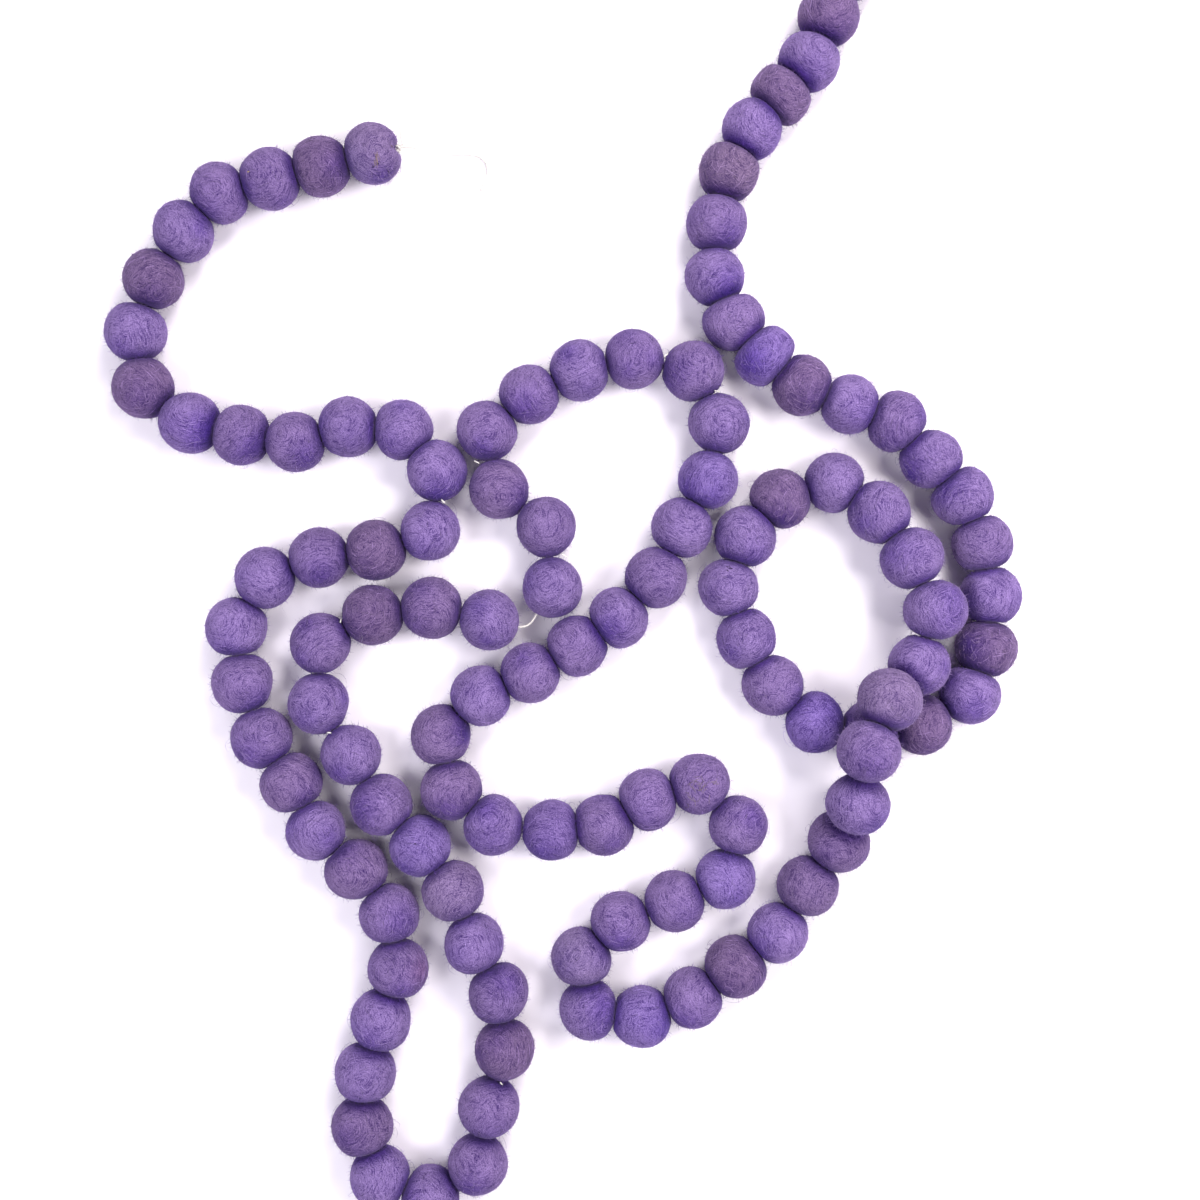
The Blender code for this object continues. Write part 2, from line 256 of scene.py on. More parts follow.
# How thick the string is where it is knotted, thinned, stretched or half sunk in a crease
KNOT_STRAND = 0.8
THIN_STRAND = 0.4
BARE_STRAND = 0.75
GLIMPSE_STRAND = 0.45

# A knot's size and the steps along it, and how far the first one is sunk in its ball
KNOT_SIZE = 0.40
KNOT_STEPS = 60
KNOT_SUNK = 0.4

# The thin end that stands up from the first knot, as (x, y, height)
KNOT_END = (
    (-65.8, 151.6, 10.2),
    (-66.1, 153.4, 11.4),
    (-66.3, 155.7, 12.2),
    (-66.9, 158.0, 12.4),
)

# The bare stretch of string between the two balls that stand apart, as (x, y, height)
BARE_STRETCH = (
    (-28.6, -8.6, 9.8),
    (-26.6, -9.0, 9.4),
    (-24.4, -8.5, 9.0),
    (-22.7, -7.1, 9.0),
    (-21.5, -5.3, 9.3),
    (-20.4, -3.4, 9.8),
)

# Where the string shows in a crease: after which ball, how far out of the crease's middle, how far to the
# left along it, and how long a bit shows. Each bit runs this far to the left and along, and rises this much.
Glimpse = namedtuple("Glimpse", "after out left length")
GLIMPSES = (
    Glimpse(14, 5.2, 3.6, 1.8),
    Glimpse(33, 4.6, -1.8, 1.2),
    Glimpse(40, 4.6, 1.3, 1.4),
    Glimpse(42, 4.4, 3.0, 1.4),
    Glimpse(46, 6.6, -5.2, 2.4),
    Glimpse(48, 6.0, 5.2, 2.0),
    Glimpse(52, 6.3, 2.4, 1.8),
    Glimpse(53, 4.8, 3.7, 1.8),
)
GLIMPSE_LEFT = 0.8
GLIMPSE_ALONG = 0.6
GLIMPSE_RISE = 0.2

# Odd fibres caught in the felt: on which ball, where they start seen from above, how long they run and
# towards which side in degrees, how far they wander and lift, how many lie there, how thick they are, and
# their colour
Caught = namedtuple("Caught", "ball x y length heading wander lift count thickness colour")
STRAW = (0.33, 0.22, 0.11)
YELLOW = (0.42, 0.30, 0.10)
DARK = (0.020, 0.008, 0.040)
BROWN = (0.075, 0.040, 0.030)
HAIR = (0.42, 0.33, 0.50)
CAUGHT = (
    Caught(1, -73.0, 146.6, 4.2, -88, 0.8, 0.12, 5, 0.12, STRAW),
    Caught(1, -73.2, 144.4, 2.6, -95, 0.8, 0.12, 4, 0.12, STRAW),
    Caught(1, -74.2, 142.5, 0.8, -120, 0.5, 0.10, 3, 0.26, DARK),
    Caught(1, -73.1, 143.4, 0.6, -60, 0.4, 0.10, 2, 0.26, DARK),
    Caught(1, -70.4, 142.0, 0.8, -20, 0.4, 0.10, 2, 0.24, DARK),
    Caught(1, -67.9, 150.2, 0.9, -60, 0.4, 0.12, 4, 0.30, BROWN),
    Caught(3, -115.8, 140.3, 1.4, 10, 0.2, 0.12, 3, 0.22, YELLOW),
    Caught(38, -60.7, -79.8, 0.8, 30, 0.3, 0.10, 3, 0.28, DARK),
    Caught(68, 33.0, -61.3, 4.5, 40, 7.0, 0.30, 26, 0.11, (0.26, 0.19, 0.18)),
    Caught(91, 41.8, 11.0, 1.2, -20, 1.4, 0.10, 5, 0.26, DARK),
    Caught(98, 136.3, -19.5, 5.5, -60, 2.0, 2.20, 12, 0.08, HAIR),
    Caught(84, 80.0, -50.0, 5.0, 20, 3.5, 1.40, 12, 0.09, HAIR),
    Caught(43, -80.0, -12.0, 5.0, -80, 3.0, 2.00, 8, 0.08, HAIR),
)

# How caught fibres vary: how far their starts, headings and bends stray for their wander, their lengths,
# lifts and brightness, the points along each, how near the ball's rim they run, how deep they are rooted,
# and from which lift they stand off by one end
CAUGHT_START = 0.35
CAUGHT_HEADING = 0.25
CAUGHT_BEND = 0.35
CAUGHT_LENGTHS = (0.6, 1.0)
CAUGHT_LIFTS = (0.4, 1.0)
CAUGHT_BRIGHTNESS = (0.6, 1.3)
CAUGHT_POINTS = 7
CAUGHT_RIM = 0.98
CAUGHT_ROOT = 0.02
STANDING_LIFT = 1

# The deeper blotches on every ball, partly uneven dye and partly painted shade, as most of them face its lower
# side in the picture: how many, which side they face as a middle and a scatter in degrees, how high, how wide
# they spread, how strong they are, and how far the strongest change the wool in red, green and blue
BLOTCHES = 3
BLOTCH_FACING = (-100, 75)
BLOTCH_HEIGHT = (-10, 55)
BLOTCH_SPREAD = (18, 42)
BLOTCH_STRENGTH = (0.3, 1.0)
BLOTCH_CHANGE = (0.55, 0.45, 0.82)

# Where a ball's colour changes over one of its sides: on which ball, the side of it and the height in degrees
# that it faces, how wide it spreads in degrees, and how far it changes in red, green and blue
Cast = namedtuple("Cast", "ball facing height spread change")
CASTS = (
    Cast(1, 215, 20, 50, (0.86, 0.88, 1.06)),
    Cast(26, 0, 25, 30, (1.14, 0.96, 0.95)),
    # Ball 94 is darker and bluer on its right side, and paler high on its left side
    Cast(94, 15, 25, 42, (0.72, 0.66, 0.95)),
    Cast(94, 160, 60, 50, (1.12, 1.14, 1.08)),
)

# The loose fibres of each ball: how many, the points along each, how long they are, how far they lift off
# the felt, how thick they are, and how bright against the felt. Dusky balls have the extra pale ones.
Fibres = namedtuple("Fibres", "count points length lift thickness brightness")
LAID_FIBRES = Fibres(165, 5, (3.0, 10.0), (0.06, 0.16), 0.12, (0.7, 2.6))
STRAY_FIBRES = Fibres(7, 7, (4.0, 9.0), (0.7, 2.2), 0.08, (1.1, 2.4))
DUSKY_FIBRES = Fibres(150, 5, (2.5, 8.0), (0.06, 0.20), 0.13, (1.7, 3.6))

# How the fibres lie: how many are tried for each kept, how clear of pressed faces and how low on a ball of
# radius 1 they start, how likely they run about each of its three poles and how far they stray from it, and
# how soon they lift highest
FIBRE_TRIES = 4
FIBRE_CLEARANCE = 0.3
LOWEST_FIBRE = -0.75
POLE_CHANCES = (0.15, 0.15, 0.7)
POLE_STRAY = 0.25
SOONEST_TOP = 0.2

# The nap: short hairs that stand off the felt at a slant, from how low to how high an angle, and how clear
# of pressed faces and how low on a ball of radius 1 they stand
NAP_COUNT = 400
NAP_TRIES = 2
NAP_LENGTH = (0.6, 2.2)
NAP_ANGLE = (0.20, 1.35)
NAP_THICKNESS = 0.13
NAP_BRIGHTNESS = (1.1, 2.9)
NAP_CLEARANCE = 0.1
LOWEST_NAP = -0.8

# How deep fibres and nap are rooted, how low they may reach, how far they lean to grey, and the palest that
# they get
ROOT_DEPTH = 0.06
LOWEST = 0.08
HAIR_GREYNESS = 0.2
PALEST_HAIR = 0.9

# Slanting directions to set the sides of a strand and of a hair by, the turns to a hair's three sides, and how
# many corners the cone of a hair has
SKEW = (0.3, 0.5, 0.8)
HAIR_SKEW = (0.31, 0.52, 0.79)
THIRDS = (0, 2 * math.pi / 3, 4 * math.pi / 3)
CONE_CORNERS = 4

Ball = namedtuple("Ball", "number shade centre radius along")


def resting_height(radius):
    """How high a ball's centre is when it lies on its small flat."""
    return radius * RESTING_SHARE


def arc_places(section):
    """The section's places on its arc, evenly spaced, each with the arc's own direction there."""
    first = Vector(section.first)
    chord = Vector(section.last) - first
    flat_chord = Vector((chord.x, chord.y, 0))
    left = UP.cross(flat_chord).normalized()
    half_turn = 2 * math.atan(2 * section.bow / flat_chord.length)
    count = len(section.shades)
    places = []
    for index in range(count):
        share = index / (count - 1)
        angle = half_turn * (2 * share - 1)
        if abs(half_turn) > 0.001:
            along = (1 + math.sin(angle) / math.sin(half_turn)) / 2
            aside = section.bow * (math.cos(angle) - math.cos(half_turn)) / (1 - math.cos(half_turn))
        else:
            along = share
            aside = 0
        place = first + flat_chord * along + left * aside + UP * chord.z * share
        direction = flat_chord * math.cos(angle) - left * flat_chord.length * math.sin(angle) + UP * chord.z
        places.append((place, direction.normalized()))
    return places


def section_balls(section, first_number):
    radius = BALL_DIAMETER / 2 * section.size
    balls = []
    for index, (place, along) in enumerate(arc_places(section)):
        centre = place + UP * resting_height(radius)
        balls.append(Ball(first_number + index, section.shades[index], centre, radius, along))
    return balls


def in_part_frame(places):
    """Places from the layout's millimetres to metres in the part's frame."""
    return (np.asarray(places, dtype=float) - (LAYOUT_MIDDLE[0], LAYOUT_MIDDLE[1], 0)) * MM


def unit(vectors):
    """Each row's vector, made 1 long."""
    return vectors / np.linalg.norm(vectors, axis=1, keepdims=True)


# The camera, the lights and the floor

def make_camera():
    camera = bpy.data.cameras.new("camera")
    camera.sensor_width = SENSOR_WIDTH
    camera.lens = SENSOR_WIDTH * CAMERA_DISTANCE / FRAME_WIDTH
    camera.clip_start = CLOSEST_VIEW
    seat = bpy.data.objects.new("camera", camera)
    seat.location = in_part_frame((0, 0, FOCUS_HEIGHT + CAMERA_DISTANCE))
    bpy.context.collection.objects.link(seat)
    bpy.context.scene.camera = seat


def make_softbox(softbox):
    """A large square lamp, turned to shine at its aim."""
    light = bpy.data.lights.new(softbox.name, "AREA")
    light.shape = "SQUARE"
    light.size = SOFTBOX_SIZE
    light.energy = softbox.power
    light.color = softbox.colour
    lamp = bpy.data.objects.new(softbox.name, light)
    lamp.location = softbox.place
    towards = Vector(softbox.aim) - Vector(softbox.place)
    lamp.rotation_euler = towards.to_track_quat("-Z", "Y").to_euler()
    bpy.context.collection.objects.link(lamp)


def make_lights():
    for softbox in SOFTBOXES:
        make_softbox(softbox)
    world = bpy.data.worlds.new("studio")
    world.use_nodes = True
    background = world.node_tree.nodes["Background"]
    background.inputs["Color"].default_value = ROOM_COLOUR
    background.inputs["Strength"].default_value = ROOM_STRENGTH
    bpy.context.scene.world = world
    bpy.context.scene.view_settings.view_transform = "Standard"


def make_floor():
    mesh = bpy.data.meshes.new("floor")
    corners = [(x * FLOOR_HALF, y * FLOOR_HALF, 0) for x, y in ((-1, -1), (1, -1), (1, 1), (-1, 1))]
    mesh.from_pydata(corners, [], [(0, 1, 2, 3)])
    material, _, shader = new_material("white_paper")
    shader.inputs["Base Color"].default_value = FLOOR_COLOUR
    shader.inputs["Roughness"].default_value = 1
    shader.inputs["Specular IOR Level"].default_value = 0
    mesh.materials.append(material)
    floor = bpy.data.objects.new("floor", mesh)
    bpy.context.collection.objects.link(floor)


# Materials

def new_material(name):
    material = bpy.data.materials.new(name)
    material.use_nodes = True
    return material, material.node_tree, material.node_tree.nodes["Principled BSDF"]


def add_node(tree, kind, inputs=(), **settings):
    """A node with its settings made and its inputs, given by name or number, set or linked."""
    node = tree.nodes.new(kind)
    for name, value in settings.items():
        setattr(node, name, value)
    for name, value in dict(inputs).items():
        if isinstance(value, bpy.types.NodeSocket):
            tree.links.new(value, node.inputs[name])
        else:
            node.inputs[name].default_value = value
    return node


def add_math(tree, operation, first, second=0.0):
    return add_node(tree, "ShaderNodeMath", {0: first, 1: second}, operation=operation).outputs[0]


def add_vector_math(tree, operation, *vectors):
    return add_node(tree, "ShaderNodeVectorMath", dict(enumerate(vectors)), operation=operation).outputs[0]


def add_noise(tree, place, scale, detail, roughness=0.5):
    return add_node(tree, "ShaderNodeTexNoise", {
        "Vector": place, "Scale": scale, "Detail": detail, "Roughness": roughness}).outputs


def add_relief(tree, shader, height, strength, depth):
    bump = add_node(tree, "ShaderNodeBump", {"Height": height, "Strength": strength, "Distance": depth})
    tree.links.new(bump.outputs["Normal"], shader.inputs["Normal"])


def mixed_colour(tree, factor, first, second):
    mix = add_node(tree, "ShaderNodeMix", {"Factor": factor, 6: first, 7: second}, data_type="RGBA")
    return mix.outputs[2]


def weighted_sum(tree, layers):
    """The layers added up, each a value and its weight."""
    parts = [add_math(tree, "MULTIPLY", value, weight) for value, weight in layers]
    total = parts[0]
    for part in parts[1:]:
        total = add_math(tree, "ADD", total, part)
    return total


def stretched(tree, value, lowest, highest):
    """A value spread so that its usual range runs from 0 to 1."""
    spread = add_node(tree, "ShaderNodeMapRange", {"Value": value, "From Min": lowest, "From Max": highest})
    return spread.outputs[0]


def combed_wool(tree, place, offset, lay):
    """How pale the wool of a lay is, from 0 to 1: fine noise drawn out into arcs around a pole, as wool lies
    on a rolled ball, with a thin pale line wherever it passes its middle value."""
    across, turn = lay
    turned = add_node(tree, "ShaderNodeMapping", {"Vector": place, "Rotation": turn}).outputs[0]
    parts = add_node(tree, "ShaderNodeSeparateXYZ", {0: turned}).outputs
    polar = add_math(tree, "ARCCOSINE", parts["Z"])
    spread = add_node(tree, "ShaderNodeCombineXYZ", {
        "X": add_math(tree, "MULTIPLY", polar, across),
        "Y": add_math(tree, "MULTIPLY", parts["X"], ALONG_LAY),
        "Z": add_math(tree, "MULTIPLY", parts["Y"], ALONG_LAY)}).outputs[0]
    noise = add_noise(tree, add_vector_math(tree, "ADD", spread, offset), 1.0, 1.0)["Fac"]
    off_middle = add_math(tree, "ABSOLUTE", add_math(tree, "SUBTRACT", noise, 0.5))
    lines = stretched(tree, off_middle, LINE_WIDTH, 0.0)
    bands = stretched(tree, noise, *BAND_RANGE)
    return weighted_sum(tree, ((lines, LINE_WEIGHT), (bands, BAND_WEIGHT)))


def felt_pattern(tree):
    """How pale the felt is, from 0 to 1, in fibres, fine grain and slow mottling, and its grain."""
    roll = add_node(tree, "ShaderNodeAttribute", attribute_name="roll").outputs["Vector"]
    seed = add_node(tree, "ShaderNodeAttribute", attribute_name="seed").outputs["Fac"]
    offset = add_node(tree, "ShaderNodeVectorMath", {0: SEED_SHIFT, "Scale": seed},
                      operation="SCALE").outputs[0]
    own_place = add_vector_math(tree, "ADD", roll, offset)
    warp = add_noise(tree, own_place, WARP_SCALE, 1.0)
    shift = add_vector_math(tree, "SUBTRACT", warp["Color"], (0.5, 0.5, 0.5))
    moved = add_vector_math(tree, "MULTIPLY_ADD", shift, (WARP_REACH, WARP_REACH, WARP_REACH), roll)
    place = add_vector_math(tree, "NORMALIZE", moved)
    first = combed_wool(tree, place, offset, FIRST_LAY)
    second = combed_wool(tree, place, offset, SECOND_LAY)
    patch = add_noise(tree, own_place, PATCH_SCALE, 2.0)["Fac"]
    patch_share = stretched(tree, patch, *PATCH_RANGE)
    fibres = add_node(tree, "ShaderNodeMix", {"Factor": patch_share, 2: first, 3: second},
                      data_type="FLOAT").outputs[0]
    grain = add_noise(tree, own_place, GRAIN_SCALE, 2.0, 0.7)["Fac"]
    fine = stretched(tree, grain, *GRAIN_RANGE)
    slow = stretched(tree, warp["Fac"], *SLOW_RANGE)
    total = weighted_sum(tree, ((fibres, FIBRE_WEIGHT), (fine, GRAIN_WEIGHT), (slow, SLOW_WEIGHT)))
    return add_math(tree, "SUBTRACT", total, PALENESS_DROP), grain


def make_felt():
    """Felted wool: pale greyish fibres over deeper and bluer ones, with a soft sheen towards the rim."""
    material, tree, shader = new_material("wool_felt")
    tint = add_node(tree, "ShaderNodeAttribute", attribute_name="tint").outputs["Color"]
    paleness, grain = felt_pattern(tree)
    change = mixed_colour(tree, paleness, DEEP_FIBRE, PALE_FIBRE)
    tree.links.new(add_vector_math(tree, "MULTIPLY", tint, change), shader.inputs["Base Color"])
    add_relief(tree, shader, grain, strength=0.25, depth=0.0003)
    shader.inputs["Roughness"].default_value = 0.95
    shader.inputs["Specular IOR Level"].default_value = 0.1
    shader.inputs["Sheen Weight"].default_value = 0.24
    shader.inputs["Sheen Roughness"].default_value = 0.5
    shader.inputs["Sheen Tint"].default_value = (0.62, 0.48, 0.86, 1)
    return material


def make_fibre():
    material, tree, shader = new_material("loose_wool_fibre")
    tint = add_node(tree, "ShaderNodeAttribute", attribute_name="tint").outputs["Color"]
    tree.links.new(tint, shader.inputs["Base Color"])
    shader.inputs["Roughness"].default_value = 0.8
    shader.inputs["Specular IOR Level"].default_value = 0.15
    return material


def make_cotton():
    """Bleached cotton: a little uneven in whiteness, with a fine fibrous grain."""
    material, tree, shader = new_material("white_cotton")
    place = add_node(tree, "ShaderNodeTexCoord").outputs["Object"]
    grain = add_noise(tree, place, COTTON_GRAIN, 3.0)["Fac"]
    tree.links.new(mixed_colour(tree, grain, COTTON_SHADE, COTTON_LIGHT), shader.inputs["Base Color"])
    add_relief(tree, shader, grain, strength=0.4, depth=0.0001)
    shader.inputs["Roughness"].default_value = 0.85
    shader.inputs["Sheen Weight"].default_value = 0.2
    return material


# The balls' shape

def cube_sphere(steps):
    """Directions and four-sided faces of a ball blown from a cube, with even steps."""
    cube = bmesh.new()
    bmesh.ops.create_cube(cube, size=2)
    bmesh.ops.subdivide_edges(cube, edges=cube.edges[:], cuts=steps - 1, use_grid_fill=True)
    cube.verts.index_update()
    corners = np.tan(np.array([vert.co[:] for vert in cube.verts]) * math.pi / 4)
    faces = np.array([[vert.index for vert in face.verts] for face in cube.faces])
    cube.free()
    return unit(corners), faces


def leaning_turn(draw):
    """A turn matrix whose third axis, the ball's main pole, leans a little off upright."""
    pole = np.append(draw.normal(size=2) * POLE_LEAN, 1.0)
    pole /= np.linalg.norm(pole)
    side = np.cross(pole, draw.normal(size=3))
    side /= np.linalg.norm(side)
    return np.column_stack((side, np.cross(pole, side), pole))


def pressing_faces(ball, balls):
    """What presses this ball: the unit vector to it, how far off its face is, its bow, and if it touches. Of
    the contacts along the strand one in three bows the other way. The surface comes last, and counts as
    touching every ball."""
    faces = []
    for other in balls:
        towards = other.centre - ball.centre
        distance = towards.length
        if other.number == ball.number or distance > ball.radius + other.radius + TOUCH_REACH:
            continue
        share = (distance ** 2 + ball.radius ** 2 - other.radius ** 2) / (2 * distance)
        in_line = abs(ball.number - other.number) == 1
        touching = in_line and distance < ball.radius + other.radius + LEAST_PRESS
        first = min(ball.number, other.number)
        bulging = (first % BOW_ROUND > 0) == (first == ball.number)
        bow = (CONTACT_BOW if bulging else -CONTACT_BOW) if touching else 0
        faces.append((np.array(towards.normalized()), share - PRESSED_GAP / 2, bow, touching))
    faces.append((np.array((0.0, 0.0, -1.0)), ball.centre.z, 0, True))
    return faces


class Shape:
    """One ball's own form: off round, lumpy, drawn in where the string enters a bare end, and pressed."""

    def __init__(self, ball, balls, bare_ends):
        self.ball = ball
        self.draw = np.random.default_rng(FIRST_SEED + ball.number)
        self.turn = leaning_turn(self.draw)
        self.oval = self.draw.uniform(-OVAL_SHARE, OVAL_SHARE, 3)
        self.waves = self.draw.normal(size=(LUMPS, 3)) * LUMP_PITCH
        self.phases = self.draw.uniform(0, 2 * math.pi, LUMPS)
        self.faces = pressing_faces(ball, balls)
        self.bare_ends = [np.array(direction) for direction in bare_ends]

    def surface(self, directions):
        """The places on the ball's skin out along the given unit vectors, from the layout's origin."""
        own = directions @ self.turn
        grow = 1 + (own ** 2) @ self.oval
        grow += LUMP_SHARE * np.sin(own @ self.waves.T + self.phases).sum(axis=1) / math.sqrt(LUMPS)
        places = directions * (self.ball.radius * grow)[:, None]
        for end in self.bare_ends:
            aside = directions @ np.cross((0, 0, 1), end) / DIMPLE_ANGLE
            height = directions[:, 2] / NOTCH_ANGLE
            facing = (directions @ end > 0) * np.exp(-(aside ** 2) - height ** 2)
            places -= np.outer(NOTCH_DEPTH * facing, end)
        for normal, limit, bow, touching in self.faces:
            press = self.ball.radius * (1 + (normal @ self.turn) ** 2 @ self.oval) - limit
            if touching and press < LEAST_PRESS:
                near = np.arccos(np.clip(directions @ normal, -1, 1))
                places += np.outer((LEAST_PRESS - press) * np.exp(-(near / PRESS_SPREAD) ** 2), normal)
                press = LEAST_PRESS
            rounding = min(PRESS_ROUNDING, max(press, SMALLEST_PRESS) * ROUNDING_GROWTH)
            aside = (places ** 2).sum(axis=1) - (places @ normal) ** 2
            over = places @ normal - limit - bow * (CONTACT_SPREAD - aside)
            blend = np.clip(1 - np.abs(over) / rounding, 0, 1)
            kept = np.minimum(over, 0) - blend ** 2 * rounding / 4
            places += np.outer(kept - over, normal)
        return places + np.array(self.ball.centre)

    def is_free(self, directions, margin):
        """Where the skin is well clear of the pressed faces."""
        free = np.ones(len(directions), dtype=bool)
        for normal, limit, _, _ in self.faces:
            free &= directions @ normal * self.ball.radius < limit - margin
        return free

    def painted_crease_shade(self, places):
        """How far each place is darkened with painted shade for lying in a crease against another ball."""
        own = places - np.array(self.ball.centre)
        shares = np.zeros(len(places))
        for normal, limit, _, _ in self.faces[:-1]:
            depths = np.maximum(limit - own @ normal, 0)
            shares = np.maximum(shares, np.exp(-(depths / CREASE_SHADE_WIDTH) ** 2))
        return 1 + (np.array(CREASE_SHADE_CHANGE) - 1) * shares[:, None]

    def tint(self):
        colour = np.array(SHADES[self.ball.shade])
        for numbers, lean in LEANINGS:
            if self.ball.number in numbers:
                colour = colour * lean
        return colour * (1 + self.draw.uniform(-SHADE_SPREAD, SHADE_SPREAD))


# Fibres

def turn_about(vectors, axes, angles):
    """Each vector turned about its own unit axis."""
    cosines = np.cos(angles)[:, None]
    sines = np.sin(angles)[:, None]
    along = (vectors * axes).sum(axis=1, keepdims=True)
    return vectors * cosines + np.cross(axes, vectors) * sines + axes * along * (1 - cosines)


def fibre_paths(shape, fibres):
    """Arcs round the ball's poles, most about its main one, laid on its skin or standing off it."""
    draw = shape.draw
    directions = draw.normal(size=(fibres.count * FIBRE_TRIES, 3))
    directions = unit(directions)
    free = shape.is_free(directions, fibres.lift[1] + FIBRE_CLEARANCE) & (directions[:, 2] > LOWEST_FIBRE)
    directions = directions[free][:fibres.count]
    count = len(directions)
    poles = shape.turn[:, draw.choice(3, count, p=POLE_CHANCES)].T
    poles = poles + draw.normal(size=(count, 3)) * POLE_STRAY
    poles = unit(poles)
    lengths = draw.uniform(*fibres.length, count)
    lifts = fibres.lift[0] + (fibres.lift[1] - fibres.lift[0]) * draw.random(count) ** 2
    angles = lengths / shape.ball.radius * draw.choice((-1, 1), count)
    tops = SOONEST_TOP + (1 - SOONEST_TOP) * draw.random(count)
    paths = []
    for share in np.linspace(0, 1, fibres.points):
        turned = turn_about(directions, poles, angles * share)
        lift = lifts * (1 - (1 - share / tops) ** 2) - ROOT_DEPTH
        paths.append(shape.surface(turned) + turned * lift[:, None])
    paths = np.stack(paths, axis=1)
    paths[:, :, 2] = np.maximum(paths[:, :, 2], LOWEST)
    return paths


def cones(feet, along, lengths, thickness):
    """Thin three-sided cones from their feet along the unit vectors: their vertices and their triangles."""
    first_side = np.cross(along, HAIR_SKEW)
    first_side = unit(first_side)
    second_side = np.cross(along, first_side)
    corners = []
    for turn in THIRDS:
        corners.append(feet + (first_side * math.cos(turn) + second_side * math.sin(turn)) * thickness / 2)
    tips = feet + along * lengths[:, None]
    tips[:, 2] = np.maximum(tips[:, 2], LOWEST)
    places = np.stack(corners + [tips], axis=1)
    cone = np.array([(0, 2, 1), (0, 1, 3), (1, 2, 3), (2, 0, 3)])
    triangles = cone[None] + (np.arange(len(feet)) * CONE_CORNERS)[:, None, None]
    return places.reshape(-1, 3), triangles.reshape(-1, 3)


def nap_hairs(shape):
    """Straight hairs all over a ball, each a thin cone with its foot just under the skin."""
    draw = shape.draw
    directions = draw.normal(size=(NAP_COUNT * NAP_TRIES, 3))
    directions = unit(directions)
    free = shape.is_free(directions, NAP_CLEARANCE) & (directions[:, 2] > LOWEST_NAP)
    directions = directions[free][:NAP_COUNT]
    count = len(directions)
    sideways = np.cross(directions, draw.normal(size=(count, 3)))
    sideways = unit(sideways)
    angles = draw.uniform(*NAP_ANGLE, count)[:, None]
    along = directions * np.sin(angles) + sideways * np.cos(angles)
    feet = shape.surface(directions) - directions * ROOT_DEPTH
    return cones(feet, along, draw.uniform(*NAP_LENGTH, count), NAP_THICKNESS)


def caught_paths(shape, caught):
    """Wandering paths on or off the skin from a place seen from above."""
    draw = shape.draw
    radius = shape.ball.radius
    aside = (np.array((caught.x, caught.y)) - np.array(shape.ball.centre)[:2]) / radius
    starts = aside + draw.normal(size=(caught.count, 2)) * caught.wander * CAUGHT_START / radius
    headings = np.radians(caught.heading) + draw.normal(size=caught.count) * caught.wander * CAUGHT_HEADING
    bends = draw.normal(size=caught.count) * caught.wander * CAUGHT_BEND
    lengths = caught.length * draw.uniform(*CAUGHT_LENGTHS, caught.count) / radius
    lifts = caught.lift * draw.uniform(*CAUGHT_LIFTS, caught.count)
    steps = np.linspace(0, 1, CAUGHT_POINTS)
    paths = []
    places = starts
    for before, share in zip(np.append(0, steps), steps):
        angles = headings + bends * share
        strides = (lengths * (share - before))[:, None]
        places = places + np.stack((np.cos(angles), np.sin(angles)), axis=1) * strides
        flat = np.minimum(np.linalg.norm(places, axis=1), CAUGHT_RIM)
        directions = np.column_stack((places, np.sqrt(1 - flat ** 2)))
        directions = unit(directions)
        lift = lifts * share ** 2 if caught.lift > STANDING_LIFT else lifts * math.sin(math.pi * share)
        paths.append(shape.surface(directions) + directions * (lift - CAUGHT_ROOT)[:, None])
    paths = np.stack(paths, axis=1)
    paths[:, :, 2] = np.maximum(paths[:, :, 2], LOWEST)
    return paths


def spindles(paths, thickness):
    """Closed three-sided spindles along the paths: their vertices and their triangles."""
    count, points, _ = paths.shape
    along = paths[:, -1] - paths[:, 0]
    along = unit(along)
    aside = np.cross(along, SKEW)
    aside = unit(aside)
    upward = np.cross(along, aside)
    rings = []
    for index in range(1, points - 1):
        radius = thickness / 2 * math.sin(math.pi * index / (points - 1)) ** 0.5
        for turn in THIRDS:
            rings.append(paths[:, index] + (aside * math.cos(turn) + upward * math.sin(turn)) * radius)
    places = np.stack([paths[:, 0]] + rings + [paths[:, -1]], axis=1)
    last = places.shape[1] - 1
    faces = []
    for side in range(3):
        following = (side + 1) % 3
        faces.append((0, 1 + following, 1 + side))
        faces.append((last, last - 3 + side, last - 3 + following))
        for ring in range(points - 3):
            low = 1 + ring * 3
            faces.append((low + side, low + following, low + 3 + following))
            faces.append((low + side, low + 3 + following, low + 3 + side))
    triangles = np.array(faces)[None] + (np.arange(count) * (last + 1))[:, None, None]
    return places.reshape(-1, 3), triangles.reshape(-1, 3)


# Putting meshes together

